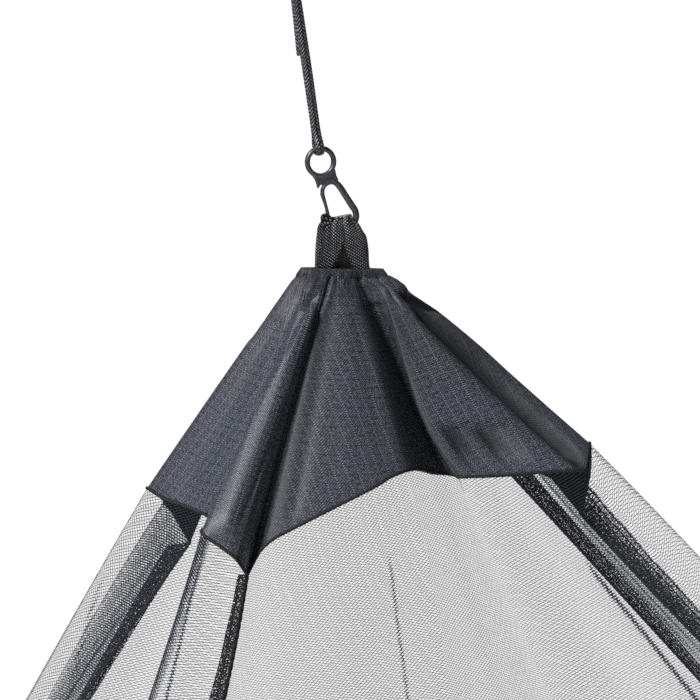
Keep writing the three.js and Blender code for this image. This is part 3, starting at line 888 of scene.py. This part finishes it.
def add_caps(panels, material, coating_and_fold_shadow):
    """The four gores: ribs, a lip turned in at the top, and the lift along the normals. Levels below 0 are
    the lip's two rows, and faces deepest in a fold take the black coating as a painted shadow."""
    level = np.concatenate([[-1.0, -0.5, 0.0], np.linspace(0, 1, CAP_ROWS)[1:]])
    for panel in panels.values():
        across, down = np.meshgrid(np.linspace(0, 1, CAP_COLUMNS[panel.name]), level)
        lip, below = np.clip(-down, 0, 1), np.clip(down, 0, 1)
        top = panel.top(across)
        turned = panel.cap(across, below) + (panel.top(across, LIP_SQUEEZE) - top) * lip[..., None]
        turned[..., 2] -= np.where(lip == 1, LIP_DROP, 0.0)
        depth = np.linalg.norm(panel.hem(across) - top, axis=-1) * below
        lift = cap_lift(panel, across, depth, below) * (down > 0)
        points = turned + outward(turned) * lift[..., None]
        ends, grain_ribs = np.transpose(GRAIN_RIBS[panel.name])
        rib = grain_ribs[np.searchsorted(ends, across)]
        uv = np.stack([(across - rib) * panel.cap_width(below), depth], axis=-1)
        shade = cap_shade(panel, across, depth, below)
        name = "cap_" + panel.name
        piece = lay_mesh("ripstop_" + name, points, grid_faces(*across.shape), material, uv, shade)
        piece.data.materials.append(coating_and_fold_shadow)
        # painted shadow: the faces deepest in a fold take the black coating
        deepest = np.mean(quad_corners(shade), axis=0) > DEEPEST
        piece.data.polygons.foreach_set("material_index", deepest.astype(np.int32).ravel())
        thick = piece.modifiers.new("coated back", "SOLIDIFY")
        thick.thickness = RIPSTOP_THICK * MM
        thick.offset = -1.0
        thick.material_offset = 1
        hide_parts(name)
        panel.cap_piece = piece


# Folds pressed into the net: (drop share, share) points down the fold, its half width in mm, and the layers
# that it adds.
PLEATS = {
    "front": (
        (((0.0316, 0.721), (0.052, 0.734), (0.074, 0.744), (0.2, 0.765)), 0.8, 8.0),
        (((0.0228, 0.254), (0.0416, 0.255), (0.0608, 0.26), (0.15, 0.27)), 0.6, 2.5),
        (((0.0, 0.859), (0.3, 0.9)), 3.0, 2.0),
    ),
    "right": (
        (((0.0, 0.86), (0.1, 0.86)), 9.0, 1.5),
        (((0.0, 0.93), (0.1, 0.94)), 2.0, 5.0),
        (((0.0, 0.78), (0.1, 0.8)), 1.2, 4.0),
        (((0.0, 0.67), (0.1, 0.69)), 1.2, 5.0),
        (((0.0, 0.3), (0.1, 0.33)), 2.0, 2.0),
    ),
    "back": (
        (((0.0, 0.845), (0.0232, 0.865), (0.1, 0.875)), 2.5, 4.0),
        (((0.0, 0.95), (0.1, 0.95)), 14.0, 3.0),
        (((0.03, 0.955), (0.1, 0.96)), 0.9, 5.0),
    ),
    "left": (
        (((0.0, 0.295), (0.033, 0.29), (0.2, 0.27)), 1.4, 5.0),
        (((0.0, 0.715), (0.0112, 0.745), (0.0352, 0.745), (0.0464, 0.735), (0.15, 0.73)), 7.0, 7.0),
        (((0.002, 0.812), (0.0168, 0.814), (0.0296, 0.82), (0.0424, 0.825), (0.15, 0.83)), 0.6, 5.0),
        (((0.0288, 0.335), (0.0552, 0.413), (0.12, 0.5)), 0.7, 4.0),
    ),
}
# A fold fades in over this drop share to each side of its start, and out from this share of its end.
PLEAT_START, PLEAT_FADE = 0.004, 0.7


def net_layers(panel, share, drop_share):
    """Layers of net at each point: one, a little uneven across the panel, and more along pressed folds."""
    wide = panel.net_width(drop_share)
    layers = 1 + 0.1 * np.sin(share * 23.0 + 3.0 * np.sin(share * 9.0)) + 0.05 * np.sin(share * 61.0)
    for line, half_width, added in PLEATS[panel.name]:
        drops, shares = np.transpose(line)
        fade_in = ease(drop_share, drops[0] - PLEAT_START, drops[0] + PLEAT_START)
        fade_out = 1 - ease(drop_share, PLEAT_FADE * drops[-1], drops[-1])
        aside = (share - np.interp(drop_share, drops, shares)) * wide
        layers += added * fade_in * fade_out * bell(aside, half_width)
    return layers


def net_shares(panel):
    """Columns across a net panel: an even spread, with close columns on each narrow pressed fold."""
    columns = [np.linspace(0, 1, NET_COLUMNS)]
    for line, half_width, _ in PLEATS[panel.name]:
        shares = [share for _, share in line]
        places = np.linspace(min(shares), max(shares), 12)
        columns += [places + step * half_width / panel.hem_width for step in (-1.2, -0.4, 0.4, 1.2)]
    return np.unique(np.clip(np.concatenate(columns), 0, 1).round(5))


def add_nets(panels, material):
    """The four net panels, from the hem to the ground."""
    level = np.linspace(0, 1, NET_ROWS) ** NET_CROWDING
    for panel in panels.values():
        across, down = np.meshgrid(net_shares(panel), level)
        points = panel.net(across, down)
        uv = np.stack([(across - 0.5) * panel.net_width(down), HEIGHT * NET_SLANT * down], axis=-1)
        layers = net_layers(panel, across, down)
        name = "net_" + panel.name
        piece = lay_mesh("mesh_" + name, points, grid_faces(*across.shape), material, uv, layers)
        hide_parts(name)
        panel.net_piece = piece


def thread_tube(name, path, radius, material):
    """Overlocked edge: a round tube whose radius swells where each wrap of thread crosses."""
    swell, sides = 0.18, 9
    along = unit(np.gradient(path, axis=0))
    side = unit(np.cross(along, [0.0, 0.0, 1.0]))
    length = run_length(path)
    turn = np.linspace(0, 2 * np.pi, sides, endpoint=False)
    swollen = 1 + swell * np.cos(2 * np.pi * length[:, None] / THREAD_WRAP + turn[None])
    rings = tube(path, side, np.cross(side, along), radius, radius, sides)
    rings = path[:, None] + (rings - path[:, None]) * swollen[..., None]
    uv = np.stack(np.broadcast_arrays(turn[None] * radius, length[:, None]), axis=-1)
    return lay_tube(name, rings, material, uv)


def add_hems(panels, material):
    """Overlocked hem of each gore, on its lower edge."""
    radius, step = 0.75, 0.4
    for panel in panels.values():
        line = even_path(panel.hem(np.linspace(0, 1, 400)), step)
        piece = thread_tube("hem_cap_" + panel.name, line, radius, material)
        panel.hem_piece = piece


# The raw allowance inside each corner seam: the way it lies where it leaves its panel, and (drop share, mm
# from the corner to its near edge, width in mm) points down the seam.
ALLOWANCE = {
    "front": (None, ((0.0, 0.0, 14.0), (1.0, 0.0, 14.0))),
    "right": (None, ((0.0, 0.0, 10.0), (1.0, 0.0, 10.0))),
    "back": ((0.85, -0.5, 0.1), ((0.0, -12.0, 12.0), (0.05, -3.0, 8.0), (1.0, 0.0, 8.0))),
    "left": ((-0.85, 0.35, 0.0), ((0.0, 0.0, 4.0), (0.04, 0.0, 7.0), (1.0, 0.0, 7.0))),
}


def add_seams(panels, lace, thread):
    """Corner seams of the net: a rolled ridge down the corner, and the raw allowance inside it, which
    ripples more and closes less the further it lies from the corner."""
    inside, ridge_radius, ridge_step = 1.0, 0.8, 2.0
    ripple_height, ripple_wave, sway, sway_wave = 0.5, 3.7, 2.0, 17.0
    closed_near, closed_far, loose_from, loose_to = 1.15, 0.5, 6.0, 12.0
    level = np.linspace(0, 1, SEAM_ROWS) ** NET_CROWDING
    for panel in panels.values():
        way, line = ALLOWANCE[panel.name]
        drops, starts, widths = np.transpose(line)
        share, down = np.meshgrid(np.linspace(0, 1, SEAM_COLUMNS), level)
        offset = share * np.interp(down, drops, widths)
        aside = offset + np.interp(down, drops, starts)
        corner = panel.net(np.ones_like(down), down)
        if way:
            points = corner + aside[..., None] * unit(np.array(way))
        else:
            points = panel.net(1 - aside / panel.net_width(down), down)
        drop = down * HEIGHT
        ripple = ripple_height * np.sin(drop / ripple_wave + sway * np.sin(drop / sway_wave)) * share
        points = points - outward(points) * (inside + ripple)[..., None]
        uv = np.stack([offset, drop * NET_SLANT], axis=-1)
        closed = closed_near + (closed_far - closed_near) * ease(offset, loose_from, loose_to)
        tape = lay_mesh("seam_allowance_" + panel.name, points, grid_faces(*offset.shape), lace, uv, closed)
        ridge_line = even_path(corner[:, 0], ridge_step)
        ridge = thread_tube("seam_ridge_" + panel.name, ridge_line, ridge_radius, thread)
        panel.seam_pieces = [tape, ridge]


# Webbing and hook

WEBBING = (  # y, z, width, x of the front half, from inside the top seam up to the hook's bar
    (-1.0, -8.0, 25.0, 0.0),
    (-1.0, 0.0, 25.0, 0.0),
    (-2.6, 6.0, 23.6, 0.8),
    (-3.9, 12.0, 21.5, 1.4),
    (-4.5, 17.0, 18.8, 1.6),
    (-4.3, 20.4, 16.6, 1.7),
    (-3.3, 22.3, 13.0, 2.6),
    (-2.4, 22.7, 8.4, 3.8),
    (0.0, 22.6, 7.4, 3.9),
)


def add_webbing(material):
    """Webbing doubled over the hook's bar: its stations carried up the front, over and down the back, with
    the width drawn in by lengthwise crumples. Its front left corner turns up into an ear, its front right
    shoulder drops, and the front is folded open in a triangle above the seam, darkened with painted shade,
    with a line of painted shade for a groove up from its peak, and dark edges."""
    rows, columns = 150, 64
    ear_width, ear_rise, ear_aside, ear_forward = 0.08, 4.6, 1.6, 0.8
    shoulder_width, shoulder_drop = 0.22, 3.4
    triangle_half, triangle_height, triangle_middle, triangle_depth = 0.23, 13.0, 0.49, 0.8
    groove_middle, groove_width = 0.52, 0.016
    half = np.array(WEBBING)
    stations = np.vstack([half, half[-2::-1] * [-1, 1, 1, 1]])
    at = np.linspace(0, len(stations) - 1, rows)
    y, z, width, x = through(stations, at).T[..., None]
    share = np.linspace(0, 1, columns)[None, :]
    drawn = (WEBBING_WIDTH - width) / WEBBING_WIDTH
    front = ease(-y, 0.5, 3.0)
    on_front = (at < len(half) - 1)[:, None]
    waves = ((3.2, 0.1), (6.1, 0.4), (2.6, 0.55))
    coarse, fine, rim = (np.sin(2 * np.pi * (count * share + shift)) for count, shift in waves)
    crumple = drawn * (0.9 * coarse + 0.5 * fine)
    ear = front * bell(share, ear_width) * ease(z, 18.0, 21.5) * ease(width, 9.0, 14.0)
    shoulder = front * bell(1 - share, shoulder_width) * ease(z, 12.0, 20.0)
    within = triangle_half * (1 - z / triangle_height) - np.abs(share - triangle_middle)
    triangle = on_front * ease(within, 0.0, 0.03)
    up_groove = ease(z, 10.0, 13.0) * (1 - ease(z, 19.0, 22.0))
    groove = on_front * bell(share - groove_middle, groove_width) * up_groove
    edges = on_front * (0.7 * bell(share, 0.05) + 0.65 * bell(1 - share, 0.1))
    points = np.stack(np.broadcast_arrays(
        x + (share - 0.5) * width - ear_aside * ear,
        y + np.sign(y) * crumple * 0.9 * front - ear_forward * ear + triangle_depth * triangle,
        z + ear_rise * ear - shoulder_drop * shoulder + 0.7 * front * drawn * rim,
    ), axis=-1)
    length = run_length(points[:, columns // 2])
    uv = np.stack(np.broadcast_arrays((share - 0.5) * WEBBING_WIDTH, length[:, None]), axis=-1)
    # painted shade inside the opened triangle and along the groove, with the darker edges
    shade = np.maximum(np.maximum(0.9 * triangle, 0.75 * groove), edges)
    piece = lay_mesh("webbing_strip", points, grid_faces(rows, columns), material, uv, shade)
    thick = piece.modifiers.new("thickness", "SOLIDIFY")
    thick.thickness = WEBBING_THICK * MM
    thick.offset = 0.0
    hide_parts("webbing_loop")


HOOK_FRAME = (  # x, z, half width of the hook's lower frame, from the tongue's kink round to it again
    (-4.0, 34.3, 0.95),
    (-3.5, 36.7, 0.9),
    (-1.7, 38.7, 1.05),
    (0.8, 39.3, 1.2),
    (3.0, 38.5, 1.35),
    (4.7, 36.1, 1.5),
    (6.7, 31.8, 1.5),
    (8.7, 27.4, 1.55),
    (10.1, 24.3, 1.5),
    (9.8, 20.9, 1.5),
    (7.6, 18.0, 1.5),
    (4.4, 16.9, 1.5),
    (1.0, 17.5, 1.4),
    (-1.6, 20.0, 1.2),
    (-2.7, 23.6, 0.9),
    (-3.1, 28.4, 0.7),
    (-4.0, 34.3, 0.95),
)
HOOK_WEB = (  # x, z round the flared web between the ring and the lower frame
    (-7.4, 43.6), (-6.3, 41.6), (-5.9, 39.6), (-5.75, 37.4), (-4.3, 39.0), (-3.2, 38.6), (-1.6, 39.4),
    (0.8, 39.8), (3.2, 39.4), (4.3, 39.7), (3.6, 41.6), (3.4, 44.6), (1.0, 43.3), (-2.6, 42.3), (-5.6, 43.0),
)


def add_hook(material):
    """Moulded hook: a ring, a lower frame of changing width and the flared web between them, fused and
    softened into one skin."""
    ring_radius, ring_half_width, ring_half_depth = 6.15, 1.2, 1.45
    frame_half_depth, web_half_depth, sides, skin = 1.4, 1.1, 16, 0.2
    deep = np.array([0.0, 1.0, 0.0])
    turn = np.linspace(0, 2 * np.pi, 96, endpoint=False)
    spoke = np.stack([np.cos(turn), np.zeros(len(turn)), np.sin(turn)], axis=1)
    ring = tube(spoke * ring_radius + [RING_X, 0, RING_Z], spoke, np.tile(deep, (len(turn), 1)),
                ring_half_width, ring_half_depth, sides)
    at = np.linspace(0, len(HOOK_FRAME) - 1, 220)[:-1]
    x, z, half_width = through(HOOK_FRAME, at).T
    path = np.stack([x, np.zeros(len(at)), z], axis=1)
    along = unit(np.roll(path, -1, axis=0) - np.roll(path, 1, axis=0))
    lower = tube(path, np.cross(along, deep), np.tile(deep, (len(at), 1)),
                 half_width, frame_half_depth, sides)
    parts, faces, start = [], [], 0
    for rings in (ring, lower):
        parts.append(rings.reshape(-1, 3))
        faces += grid_faces(len(rings), sides, around=True, round_again=True, start=start)
        start += len(rings) * sides
    web_x, web_z = np.transpose(HOOK_WEB)
    count = len(HOOK_WEB)
    for y in (-web_half_depth, web_half_depth):
        parts.append(np.stack([web_x, np.full(count, y), web_z], axis=1))
    near = np.arange(start, start + count)
    after = np.roll(near, -1)
    faces += [near[::-1].tolist(), (near + count).tolist()]
    faces += np.stack([near, after, after + count, near + count], axis=1).tolist()
    piece = lay_mesh("hook_moulding", np.vstack(parts), faces, material)
    fuse = piece.modifiers.new("fuse", "REMESH")
    fuse.mode = "VOXEL"
    fuse.voxel_size = skin * MM
    fuse.use_smooth_shade = True
    soften = piece.modifiers.new("soften", "SMOOTH")
    soften.factor = 0.5
    soften.iterations = 6
    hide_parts("snap_hook")


def main():
    """The view, then the tent from its cord down."""
    add_camera()
    add_studio()
    add_floor()
    add_cords(braid_material())
    panels = {name: Panel(name) for name in PANELS}
    thread = thread_material()
    add_caps(panels, ripstop_material(), coating_and_fold_shadow_material())
    add_nets(panels, net_material())
    add_hems(panels, thread)
    add_seams(panels, seam_material(), thread)
    add_webbing(webbing_material())
    add_hook(hook_material())


main()
